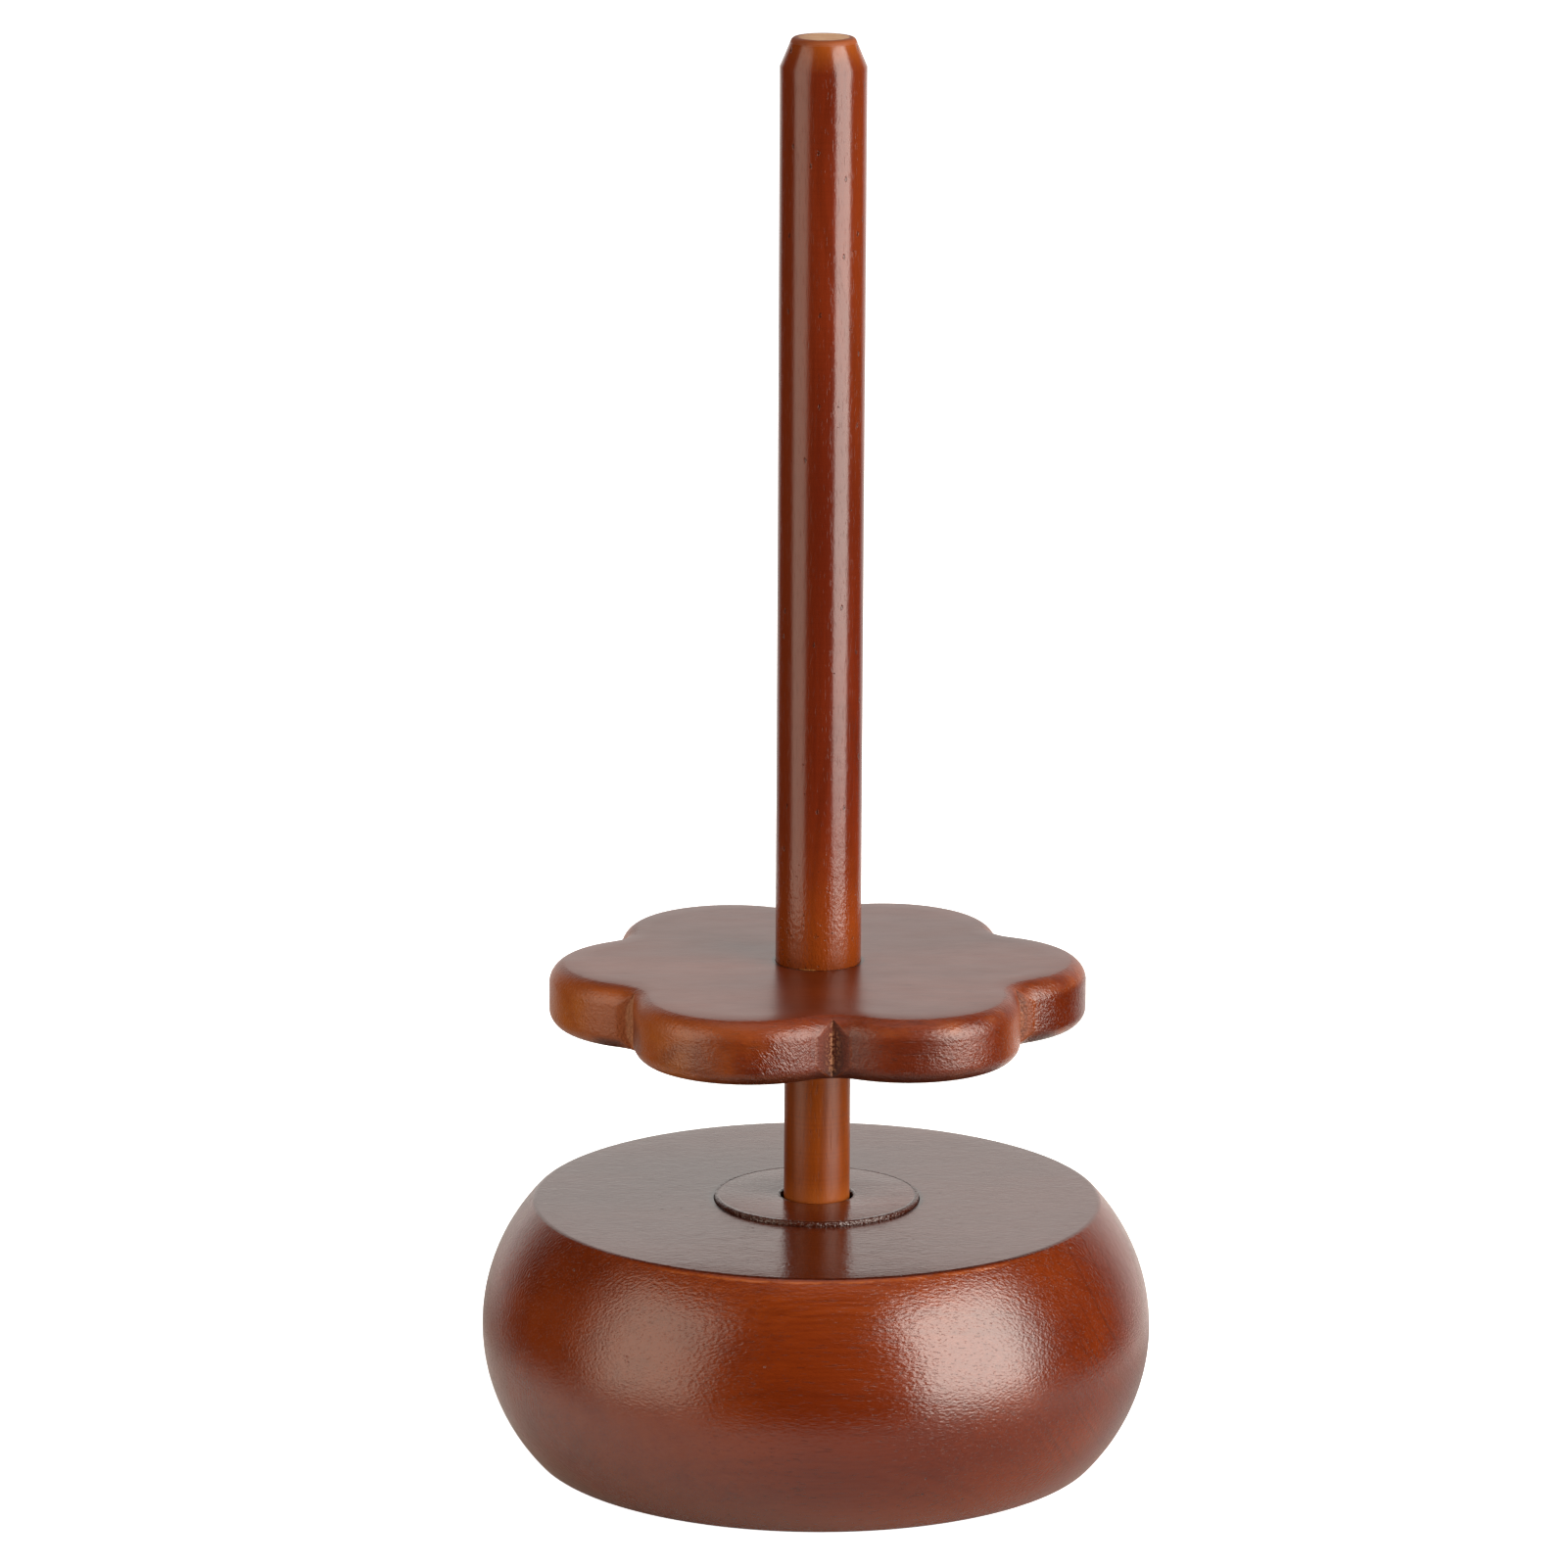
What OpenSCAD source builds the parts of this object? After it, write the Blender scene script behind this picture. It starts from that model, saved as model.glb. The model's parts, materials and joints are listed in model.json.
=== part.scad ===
// Yarn ball holder: a flower tray with a yarn rod, spinning on a ball bearing in a turned base.
// All sizes in mm. Z runs up the axis of the rod and the base stands on z = 0.

/* [Base] */
// Largest diameter of the base
base_d = 122; // [114:1:140]
// Height of the base
base_h = 47; // [45:1:60]
// Radius of the arc that bulges the side
base_side_r = 34; // [31:1:50]
// Rounding radius of the top rim
base_rim_top_r = 0.9; // [0.4:0.1:2]
// Rounding radius of the bottom rim
base_rim_bottom_r = 1.4; // [0.4:0.1:2.5]
// Depth of the hollow below the bearing
relief_depth = 8.5; // [6.5:0.1:14]

/* [Bearing cap] */
// Diameter of the disc let into the base's top
cap_d = 37.3; // [36:0.1:44]
// Thickness of the disc
cap_t = 4; // [3:0.1:6]
// How far the disc stands above the base
cap_proud = 0.8; // [0.3:0.1:2]
// Rounding radius of the disc's edges
cap_edge_r = 0.4; // [0.2:0.1:1]

/* [Ball bearing] */
// Bore of the inner ring
bearing_bore = 10; // [9:0.1:10.5]
// Outside diameter of the outer ring
bearing_od = 30; // [29:0.1:33]
// Width of both rings
bearing_w = 9; // [8.4:0.1:11]
// Diameter of a ball
ball_d = 4.76; // [4.2:0.01:5]
// Number of balls
ball_count = 7; // [6:1:8]
// Rounding radius of the rings' outer corners
ring_edge_r = 0.6; // [0.3:0.1:0.9]
// Sheet thickness of the shields
shield_t = 0.4; // [0.3:0.05:0.5]
// How far a shield lies inside the ring's face
shield_inset = 0.5; // [0.4:0.05:0.6]
// Sheet thickness of the cage
cage_t = 0.45; // [0.3:0.05:0.6]
// Radial width of the cage's band
cage_w = 2; // [1.8:0.1:2.4]
// Diameter of a cage rivet
rivet_d = 1; // [0.8:0.05:1.2]

/* [Stem] */
// Diameter of the stem
stem_d = 12; // [11.5:0.1:14]
// Clear height between the base's top and the tray
tray_clear = 33; // [30:0.5:60]

/* [Flower tray] */
// Number of petals
petal_count = 6; // [5:1:8]
// Distance from the axis to a petal's tip
petal_reach = 48.7; // [44:0.1:54]
// Radius of a petal
petal_r = 20.5; // [19.5:0.1:23]
// Thickness of the tray
tray_t = 11.8; // [9:0.1:16]
// How far the upper rounding reaches down the wall and over the face
tray_round_top = 3.4; // [2:0.1:4]
// How far the lower rounding reaches up the wall and over the face
tray_round_bottom = 2.9; // [2:0.1:4]
// Radius of the guide that carries the rounding across a notch
notch_guide_r = 6.35; // [5:0.05:8]

/* [Rod] */
// Diameter of the rod
rod_d = 15.5; // [14:0.1:18]
// Length of the rod above the tray
rod_len = 168.2; // [120:0.1:220]
// Height of the taper at the rod's top
rod_taper_h = 5.2; // [3:0.1:10]
// How far the taper runs inwards
rod_taper_in = 2.2; // [1:0.1:4]
// Rounding radius of the taper's upper rim
rod_rim_r = 0.9; // [0.3:0.1:1.5]
// How deep the rod is let into the tray
rod_seat = 1; // [0.5:0.1:3]
// How far the rod's foot tapers in where it is let into the tray
rod_foot_in = 0.5; // [0.2:0.1:1]

/* [Hidden fasteners] */
// Diameter of the stud that joins rod and stem
stud_d = 6; // [5:0.1:7]
// Length of the stud
stud_len = 50; // [40:1:54]
// Diameter of the screw's shank
screw_d = 4.2; // [3.5:0.1:5]
// Length of the shank below the head
screw_len = 26; // [20:1:28]
// Diameter of the screw's head
screw_head_d = 9; // [8:0.1:11]
// Height of the screw's head
screw_head_h = 3; // [2.4:0.1:4]
// Diameter of the washer that holds the inner ring
washer_d = 15; // [13:0.1:16]
// Thickness of the washer
washer_t = 1.2; // [0.8:0.1:2]

/* [Fits] */
// Radial gap of a glued or pressed fit
press_gap = 0.02; // [0.01:0.01:0.05]
// Radial gap round the rod where it is let into the tray
seat_gap = 0.05; // [0.02:0.01:0.15]
// Radial seam round the cap
cap_seam = 0.15; // [0.05:0.05:0.4]
// Radial running gap between the stem and the cap's hole
stem_gap = 0.55; // [0.3:0.05:1]
// Radial gap between a ball and its grooves
ball_gap = 0.05; // [0.03:0.01:0.1]
// Radial gap between a ball and its cage pocket
pocket_gap = 0.08; // [0.05:0.01:0.15]
// Gap between the inner ring and a shield
shield_gap = 0.25; // [0.15:0.05:0.4]
// Air gap between the bearing and the cap
bearing_air = 0.3; // [0.2:0.05:1]

/* [Hidden] */
$fn = 96;
BALLS = [for (i = [1 : ball_count]) str("bearing_ball_", i)];
WOOD_NODES = ["base", "bearing_cap", "stem", "flower_tray", "rod"];
RING_NODES = ["bearing_outer_ring", "bearing_inner_ring", "bearing_shield_upper", "bearing_shield_lower"];
CAGE_NODES = ["bearing_cage_upper", "bearing_cage_lower", "bearing_cage_rivets"];
FASTENER_NODES = ["rod_stud", "retaining_washer", "retaining_screw"];

WOOD = "#7d3212";
ROD_WOOD = "#6d2410";
STEEL = "#b9bcc0";
CAGE_STEEL = "#9aa0a6";
ZINC = "#c9c6b8";

// Arcs meet their neighbours at a slight angle, as sanded edges do
rim_slack = 0.01;
// Length of the slice that a rounding is cut from, as a multiple of its radius
slice_share = 3;
// Arc radius of a tray rounding, as a multiple of its reach
tray_soft = 1.15;
// How far the webs in the notches stay inside the petals' own surface
web_sink = 0.02;
// Overlap of cutting shapes
over = 1;

base_r = base_d / 2;
base_arc_x = base_r - base_side_r;
stem_r = stem_d / 2;
rod_r = rod_d / 2;
cap_r = cap_d / 2;
cap_hole_r = stem_r + stem_gap;
cap_z = base_h + cap_proud - cap_t;

// Bearing, drawn about its own middle plane
bore_r = bearing_bore / 2;
outer_r = bearing_od / 2;
half_w = bearing_w / 2;
pitch_r = (bore_r + outer_r) / 2;
groove_r = ball_d / 2 + ball_gap;
shoulder_share = 0.36;
inner_land_r = pitch_r - shoulder_share * ball_d;
outer_land_r = pitch_r + shoulder_share * ball_d;
shield_step = 0.8;
shield_seat_r = outer_land_r + shield_step;
shield_depth = shield_inset + shield_t;
bore_edge_r = ring_edge_r / 2;
bearing_z = cap_z - bearing_air - bearing_w;
bearing_mid_z = bearing_z + half_w;
ball_step = 360 / ball_count;
pocket_r = ball_d / 2 + pocket_gap;
rivet_head_d = 1.6 * rivet_d;
rivet_head_h = 0.4 * rivet_d;

shoulder_w = 3;
relief_r = outer_r - shoulder_w;
relief_z = bearing_z - relief_depth;

tray_z = base_h + tray_clear;
seat_z = tray_z + tray_t - rod_seat;
rod_h = rod_len + rod_seat;
stud_half = stud_len / 2;
hole_spare = 0.6;

journal_r = bore_r - press_gap;
journal_short = 0.3;
journal_z = bearing_z + journal_short;
journal_edge_r = 0.5;
washer_z = bearing_z - washer_t;
washer_edge_r = 0.25;
screw_tip_h = 4;
screw_tip_r = 0.4;
screw_head_edge_r = 0.55 * screw_head_h;
drive_w = 1.1;
drive_l = 4.6;
drive_depth = 1.7;
stud_edge = 0.7;

// Petals
petal_c = petal_reach - petal_r;
half_step = 180 / petal_count;
half_gap = petal_c * sin(half_step);
guide_c = petal_c * cos(half_step) + sqrt(pow(petal_r + notch_guide_r, 2) - pow(half_gap, 2));
notch_extra = 8;
petal_turn = 90 + half_step - acos(half_gap / petal_r) + notch_extra;

function dir(a) = [cos(a), sin(a)];
function arc_r(reach) = reach * tray_soft;
function arc_in(reach) = (reach + sqrt(2 * pow(arc_r(reach), 2) - pow(reach, 2))) / 2;

// Slice between directions a1 and a2, less the circle of radius r at its point
module slice_off(a1, a2, r) {
  far = slice_share * r;
  difference() {
    polygon([[0, 0], far * dir(a1), sqrt(2) * far * dir((a1 + a2) / 2), far * dir(a2)]);
    circle(r);
  }
}

// What a rounding of radius r takes off at corner p of an outline whose sides face a1 and a2
module round_off(p, a1, a2, r) {
  translate(p - r * (1 - rim_slack) * (dir(a1) + dir(a2)) / (1 + cos(a1 - a2)))
    slice_off(a1, a2, r);
}

// What the rounding takes off where the bulging side meets a flat, seen from the mid-height
module rim_off(r) {
  up = base_h / 2 - r * (1 - rim_slack);
  out = sqrt(pow(base_side_r - r * (1 - rim_slack), 2) - pow(up, 2));
  translate([base_arc_x + out, up]) slice_off(atan2(up, out), 90, r);
}

module base_outline() {
  translate([0, base_h / 2])
    difference() {
      intersection() {
        translate([0, -base_h / 2]) square([base_d, base_h]);
        union() {
          translate([0, -base_h / 2]) square([base_arc_x, base_h]);
          translate([base_arc_x, 0]) circle(base_side_r);
        }
      }
      rim_off(base_rim_top_r);
      mirror([0, 1]) rim_off(base_rim_bottom_r);
    }
}

module base() {
  color(WOOD)
    rotate_extrude()
      difference() {
        base_outline();
        translate([-over, cap_z]) square([cap_r + cap_seam + over, base_h]);
        translate([-over, bearing_z]) square([outer_r + press_gap + over, base_h]);
        translate([-over, relief_z]) square([relief_r + over, base_h]);
      }
}

module bearing_cap() {
  color(WOOD)
    translate([0, 0, cap_z])
      rotate_extrude()
        difference() {
          translate([cap_hole_r, 0]) square([cap_r - cap_hole_r, cap_t]);
          round_off([cap_r, cap_t], 0, 90, cap_edge_r);
          round_off([cap_hole_r, cap_t], 180, 90, cap_edge_r);
        }
}

module stem() {
  color(WOOD)
    rotate_extrude()
      difference() {
        union() {
          translate([0, journal_z]) square([journal_r, seat_z - journal_z]);
          translate([0, bearing_z + bearing_w]) square([stem_r, seat_z - bearing_z - bearing_w]);
        }
        round_off([journal_r, journal_z], 0, -90, journal_edge_r);
        translate([-over, seat_z - stud_half - hole_spare])
          square([stud_d / 2 + press_gap + over, stud_len]);
        translate([-over, journal_z - over])
          square([screw_d / 2 + press_gap + over, washer_z + screw_len + hole_spare - journal_z + over]);
      }
}

// What the rounding takes off a square corner at the origin
module corner_off(reach) {
  difference() {
    translate([-arc_in(reach), -arc_in(reach)]) square(arc_in(reach) + over);
    translate([-arc_in(reach), -arc_in(reach)]) circle(arc_r(reach));
  }
}

module petal_profile() {
  difference() {
    square([petal_r, tray_t]);
    translate([petal_r, tray_t]) corner_off(tray_round_top);
    translate([petal_r, 0]) mirror([0, 1]) corner_off(tray_round_bottom);
  }
}

module petal(facing) {
  translate(petal_c * dir(facing))
    rotate_extrude(angle = 2 * petal_turn, start = facing - petal_turn) petal_profile();
}

// Half-section of what the guided cutter takes off above its guide
module cutter_profile(reach) {
  rim = notch_guide_r + web_sink;
  difference() {
    translate([0, -arc_in(reach)]) square([rim + arc_in(reach), arc_in(reach) + over]);
    translate([rim + arc_in(reach), -arc_in(reach)]) circle(arc_r(reach));
  }
}

module notch_cut(facing) {
  translate(guide_c * dir(facing)) {
    rotate_extrude()
      translate([0, tray_t]) cutter_profile(tray_round_top);
    rotate_extrude()
      mirror([0, 1]) cutter_profile(tray_round_bottom);
  }
}

// Middle of the tray with the webs that reach out into the notches
module web_shape() {
  centres = [for (i = [0 : petal_count - 1]) petal_c * dir(2 * i * half_step)];
  inner = petal_c + over;
  star = [for (i = [0 : 2 * petal_count - 1]) (i % 2 == 0 ? inner : guide_c) * dir(i * half_step)];
  intersection() {
    polygon(star);
    union() {
      polygon(centres);
      for (c = centres) translate(c) circle(petal_r - web_sink);
    }
  }
}

module web() {
  difference() {
    linear_extrude(tray_t) web_shape();
    for (i = [0 : petal_count - 1]) notch_cut((2 * i + 1) * half_step);
  }
}

module flower_tray() {
  color(WOOD)
    translate([0, 0, tray_z])
      difference() {
        union() {
          web();
          for (i = [0 : petal_count - 1]) petal(2 * i * half_step);
        }
        translate([0, 0, -over]) cylinder(r = stem_r + press_gap, h = tray_t + 2 * over);
        translate([0, 0, tray_t - rod_seat]) cylinder(r = rod_r + seat_gap, h = rod_seat + over);
      }
}

module rod() {
  top_r = rod_r - rod_taper_in;
  taper_face = atan2(rod_taper_in, rod_taper_h);
  color(ROD_WOOD)
    translate([0, 0, seat_z])
      rotate_extrude()
        difference() {
          polygon([
            [0, 0],
            [rod_r - rod_foot_in, 0],
            [rod_r, rod_seat],
            [rod_r, rod_h - rod_taper_h],
            [top_r, rod_h],
            [0, rod_h]
          ]);
          round_off([top_r, rod_h], taper_face, 90, rod_rim_r);
          translate([-over, -over]) square([stud_d / 2 + press_gap + over, stud_half + hole_spare + over]);
        }
}

module bearing_outer_ring() {
  color(STEEL)
    translate([0, 0, bearing_mid_z])
      rotate_extrude()
        difference() {
          translate([outer_land_r, -half_w]) square([outer_r - outer_land_r, bearing_w]);
          translate([pitch_r, 0]) circle(groove_r);
          for (side = [0, 1])
            mirror([0, side]) {
              round_off([outer_r, half_w], 0, 90, ring_edge_r);
              translate([0, half_w - shield_depth]) square([shield_seat_r, bearing_w]);
            }
        }
}

module bearing_inner_ring() {
  color(STEEL)
    translate([0, 0, bearing_mid_z])
      rotate_extrude()
        difference() {
          translate([bore_r, -half_w]) square([inner_land_r - bore_r, bearing_w]);
          translate([pitch_r, 0]) circle(groove_r);
          for (side = [0, 1])
            mirror([0, side]) round_off([bore_r, half_w], 180, 90, bore_edge_r);
        }
}

// Pressed sheet ring with its outer rim turned up, resting on the step in the outer ring
module bearing_shield() {
  inner = inner_land_r + shield_gap;
  rim = shield_seat_r - press_gap;
  rotate_extrude()
    translate([0, half_w - shield_depth]) {
      translate([inner, 0]) square([rim - inner, shield_t]);
      translate([rim - shield_t, 0]) square([shield_t, shield_depth - shield_t / 2]);
    }
}

module bearing_shield_upper() {
  color(STEEL)
    translate([0, 0, bearing_mid_z]) bearing_shield();
}

module bearing_shield_lower() {
  color(STEEL)
    translate([0, 0, bearing_mid_z])
      mirror([0, 0, 1]) bearing_shield();
}

// Places its children on each ball's centre, or half a step on, between the balls
module round_pitch(shift = 0) {
  for (i = [0 : ball_count - 1])
    translate(pitch_r * dir((i + shift) * ball_step)) children();
}

// Upper half of the ribbon cage: flat lands between domed pockets
module cage_half() {
  difference() {
    intersection() {
      rotate_extrude()
        translate([pitch_r - cage_w / 2, 0]) square([cage_w, ball_d]);
      union() {
        cylinder(r = outer_land_r, h = cage_t);
        round_pitch() sphere(pocket_r + cage_t);
      }
    }
    round_pitch() sphere(pocket_r);
    round_pitch(0.5)
      translate([0, 0, -over]) cylinder(d = rivet_d + 2 * press_gap, h = cage_t + 2 * over);
  }
}

module bearing_cage_upper() {
  color(CAGE_STEEL)
    translate([0, 0, bearing_mid_z]) cage_half();
}

module bearing_cage_lower() {
  color(CAGE_STEEL)
    translate([0, 0, bearing_mid_z])
      mirror([0, 0, 1]) cage_half();
}

module bearing_cage_rivets() {
  color(CAGE_STEEL)
    translate([0, 0, bearing_mid_z])
      round_pitch(0.5)
        rotate_extrude() {
          translate([0, -cage_t - rivet_head_h]) square([rivet_d / 2, 2 * (cage_t + rivet_head_h)]);
          for (side = [0, 1])
            mirror([0, side]) translate([0, cage_t]) square([rivet_head_d / 2, rivet_head_h]);
        }
}

module bearing_ball(i) {
  color(STEEL)
    translate([0, 0, bearing_mid_z])
      translate(pitch_r * dir((i - 1) * ball_step)) sphere(d = ball_d);
}

module rod_stud() {
  color(ZINC)
    translate([0, 0, seat_z])
      rotate_extrude()
        polygon([
          [0, -stud_half],
          [stud_d / 2 - stud_edge, -stud_half],
          [stud_d / 2, stud_edge - stud_half],
          [stud_d / 2, stud_half - stud_edge],
          [stud_d / 2 - stud_edge, stud_half],
          [0, stud_half]
        ]);
}

module retaining_washer() {
  hole_r = screw_d / 2 + seat_gap;
  color(ZINC)
    translate([0, 0, washer_z])
      rotate_extrude()
        difference() {
          translate([hole_r, 0]) square([washer_d / 2 - hole_r, washer_t]);
          round_off([washer_d / 2, 0], 0, -90, washer_edge_r);
          round_off([washer_d / 2, washer_t], 0, 90, washer_edge_r);
        }
}

module retaining_screw() {
  head_r = screw_head_d / 2;
  shank_r = screw_d / 2;
  color(ZINC)
    translate([0, 0, washer_z])
      difference() {
        rotate_extrude()
          difference() {
            polygon([
              [0, -screw_head_h],
              [head_r, -screw_head_h],
              [head_r, 0],
              [shank_r, 0],
              [shank_r, screw_len - screw_tip_h],
              [screw_tip_r, screw_len],
              [0, screw_len]
            ]);
            round_off([head_r, -screw_head_h], 0, -90, screw_head_edge_r);
          }
        for (turn = [0, 90])
          rotate(turn)
            translate([-drive_l / 2, -drive_w / 2, -screw_head_h - over])
              cube([drive_l, drive_w, drive_depth + over]);
      }
}

base();
bearing_cap();
stem();
flower_tray();
rod();
bearing_outer_ring();
bearing_inner_ring();
bearing_shield_upper();
bearing_shield_lower();
bearing_cage_upper();
bearing_cage_lower();
bearing_cage_rivets();
for (i = [1 : ball_count]) bearing_ball(i);
rod_stud();
retaining_washer();
retaining_screw();
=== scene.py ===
import json
import math
from functools import partial

import bmesh
import bpy
from mathutils import Matrix, Vector


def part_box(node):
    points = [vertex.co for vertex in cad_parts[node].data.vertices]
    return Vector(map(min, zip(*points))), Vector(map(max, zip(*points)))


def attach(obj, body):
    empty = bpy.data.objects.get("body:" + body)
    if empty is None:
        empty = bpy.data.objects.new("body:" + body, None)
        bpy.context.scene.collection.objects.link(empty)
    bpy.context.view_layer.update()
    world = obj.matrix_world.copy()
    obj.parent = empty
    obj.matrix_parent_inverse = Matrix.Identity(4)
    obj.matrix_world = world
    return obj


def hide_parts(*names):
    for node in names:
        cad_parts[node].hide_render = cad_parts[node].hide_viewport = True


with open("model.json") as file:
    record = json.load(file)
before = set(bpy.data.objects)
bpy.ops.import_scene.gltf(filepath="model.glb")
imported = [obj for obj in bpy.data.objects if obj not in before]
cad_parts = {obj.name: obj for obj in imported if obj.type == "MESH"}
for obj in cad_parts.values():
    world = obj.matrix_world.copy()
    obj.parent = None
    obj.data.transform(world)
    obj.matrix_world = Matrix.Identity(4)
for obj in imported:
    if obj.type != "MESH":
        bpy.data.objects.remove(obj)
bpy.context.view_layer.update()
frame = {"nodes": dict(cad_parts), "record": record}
mm = 0.001


# Helpers that lay nodes in a tree and wire them

def feedSocket(tree, socket, feed):
    if isinstance(feed, bpy.types.NodeSocket):
        tree.links.new(feed, socket)
    elif feed is not None:
        socket.default_value = feed


def addNode(tree, kind, *feeds, **settings):
    node = tree.nodes.new(kind)
    for name, value in settings.items():
        setattr(node, name, value)
    for socket, feed in zip(node.inputs, feeds):
        feedSocket(tree, socket, feed)
    return node


def calc(tree, operation, *feeds):
    return addNode(tree, "ShaderNodeMath", *feeds, operation=operation).outputs[0]


def blendColour(tree, share, first, second, blendType="MIX"):
    node = addNode(tree, "ShaderNodeMix", data_type="RGBA", blend_type=blendType)
    for index, feed in ((0, share), (6, first), (7, second)):  # the colour sockets of a Mix node
        feedSocket(tree, node.inputs[index], feed)
    return node.outputs[2]


def fade(tree, value, low, high, outLow=0.0, outHigh=1.0):
    node = addNode(tree, "ShaderNodeMapRange", value, low, high, outLow, outHigh)
    node.interpolation_type = "SMOOTHSTEP"
    return node.outputs[0]


def strip(tree, value, low, high, soft):  # 1 between low and high, 0 outside
    enter = fade(tree, value, low - soft, low + soft)
    leave = fade(tree, value, high + soft, high - soft)
    return calc(tree, "MULTIPLY", enter, leave)


def splitXyz(tree, vector):
    return addNode(tree, "ShaderNodeSeparateXYZ", vector).outputs


def vectorMath(tree, operation, *feeds):
    return addNode(tree, "ShaderNodeVectorMath", *feeds, operation=operation).outputs


def noise(tree, vector, size, detail=2.0, rough=0.5):
    sizes = size if isinstance(size, tuple) else (size,)
    sizes += sizes[-1:] * (3 - len(sizes))  # the last size serves the axes that are left
    scaled = vectorMath(tree, "MULTIPLY", vector, tuple(1 / s for s in sizes))[0]
    return addNode(tree, "ShaderNodeTexNoise", scaled, None, 1.0, detail, rough).outputs[0]


def lineNoise(tree, value, step, detail):
    steps = calc(tree, "DIVIDE", value, step)
    return addNode(tree, "ShaderNodeTexNoise", None, steps, 1.0, detail, noise_dimensions="1D").outputs[0]


def spotNoise(tree, place, step, size, share, space="3D"):  # round spots in some of the cells
    cells = addNode(tree, "ShaderNodeTexVoronoi", place, None, 1 / step, voronoi_dimensions=space)
    chosen = calc(tree, "GREATER_THAN", splitXyz(tree, cells.outputs["Color"])[0], 1 - share)
    return calc(tree, "MULTIPLY", fade(tree, cells.outputs[0], size, size * 0.5), chosen)


def inMillimetres(tree):
    place = addNode(tree, "ShaderNodeTexCoord").outputs["Object"]
    return vectorMath(tree, "SCALE", place, None, None, 1 / mm)[0]


def axisOf(tree, place):  # distance from the axis, turn about it, height
    x, y, z = splitXyz(tree, place)
    squares = calc(tree, "ADD", calc(tree, "POWER", x, 2.0), calc(tree, "POWER", y, 2.0))
    return calc(tree, "SQRT", squares), calc(tree, "ARCTAN2", y, x), z


def newMaterial(label):
    material = bpy.data.materials.new(label)
    material.use_nodes = True
    tree = material.node_tree
    tree.nodes.clear()
    shader = addNode(tree, "ShaderNodeBsdfPrincipled")
    output = addNode(tree, "ShaderNodeOutputMaterial")
    tree.links.new(shader.outputs[0], output.inputs["Surface"])
    return material, tree, shader


def fillShader(tree, shader, colour, roughness, height):
    bump = addNode(tree, "ShaderNodeBump")
    bump.inputs["Strength"].default_value = 1.0
    bump.inputs["Distance"].default_value = mm
    feedSocket(tree, bump.inputs["Height"], height)
    feedSocket(tree, shader.inputs["Base Color"], colour)
    feedSocket(tree, shader.inputs["Roughness"], roughness)
    feedSocket(tree, shader.inputs["Normal"], bump.outputs[0])


# Helpers that turn outlines into meshes, all in millimetres until the mesh is made

def nodeSpan(node):
    low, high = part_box(node)
    return (high.x - low.x) / 2 / mm, low.z / mm, high.z / mm  # radius, underside, top


def arcPoints(centre, radius, first, last, count):
    turns = [math.radians(first + (last - first) * i / count) for i in range(count + 1)]
    return [(centre[0] + radius * math.cos(a), centre[1] + radius * math.sin(a)) for a in turns]


def linePoints(first, last, count):
    return [tuple(a + (b - a) * i / count for a, b in zip(first, last)) for i in range(count + 1)]


def turnedMesh(name, outline, steps, closed=False):
    shape = bmesh.new()
    rings = []
    for radius, height in outline:
        count = 1 if radius < 1e-6 else steps
        turns = [2 * math.pi * i / steps for i in range(count)]
        rings.append([shape.verts.new(
            (radius * mm * math.cos(a), radius * mm * math.sin(a), height * mm)) for a in turns])
    pairs = list(zip(rings, rings[1:]))
    if closed:
        pairs.append((rings[-1], rings[0]))
    for lower, upper in pairs:
        for i in range(steps):
            j = (i + 1) % steps
            around = ((lower, i), (lower, j), (upper, j), (upper, i))
            corners = list(dict.fromkeys(ring[k % len(ring)] for ring, k in around))
            if len(corners) > 2:
                shape.faces.new(corners)
    return closedMesh(name, shape)


def closedMesh(name, shape, mergeGap=1e-7, sharpTurn=28):
    bmesh.ops.remove_doubles(shape, verts=shape.verts, dist=mergeGap)
    bmesh.ops.recalc_face_normals(shape, faces=shape.faces)
    mesh = bpy.data.meshes.new(name)
    shape.to_mesh(mesh)
    shape.free()
    mesh.shade_smooth()
    mesh.set_sharp_from_angle(angle=math.radians(sharpTurn))
    return mesh


def placePiece(name, mesh, material, node, body):
    piece = bpy.data.objects.new(name, mesh)
    bpy.context.scene.collection.objects.link(piece)
    mesh.materials.clear()
    mesh.materials.append(material)
    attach(piece, body)
    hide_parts(node)
    print("made", name, len(mesh.polygons), "faces")


# Wood: stain tones, fibres, growth rings and pores under lacquer, on Object coordinates in millimetres

alongX = (0.0, 0.0, 0.0)
alongZ = (0.0, math.radians(90), 0.0)
woodNoises = ("cloud", "fibre", "pores", "peel", "warp", "waves", "swells", "haze")

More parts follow.
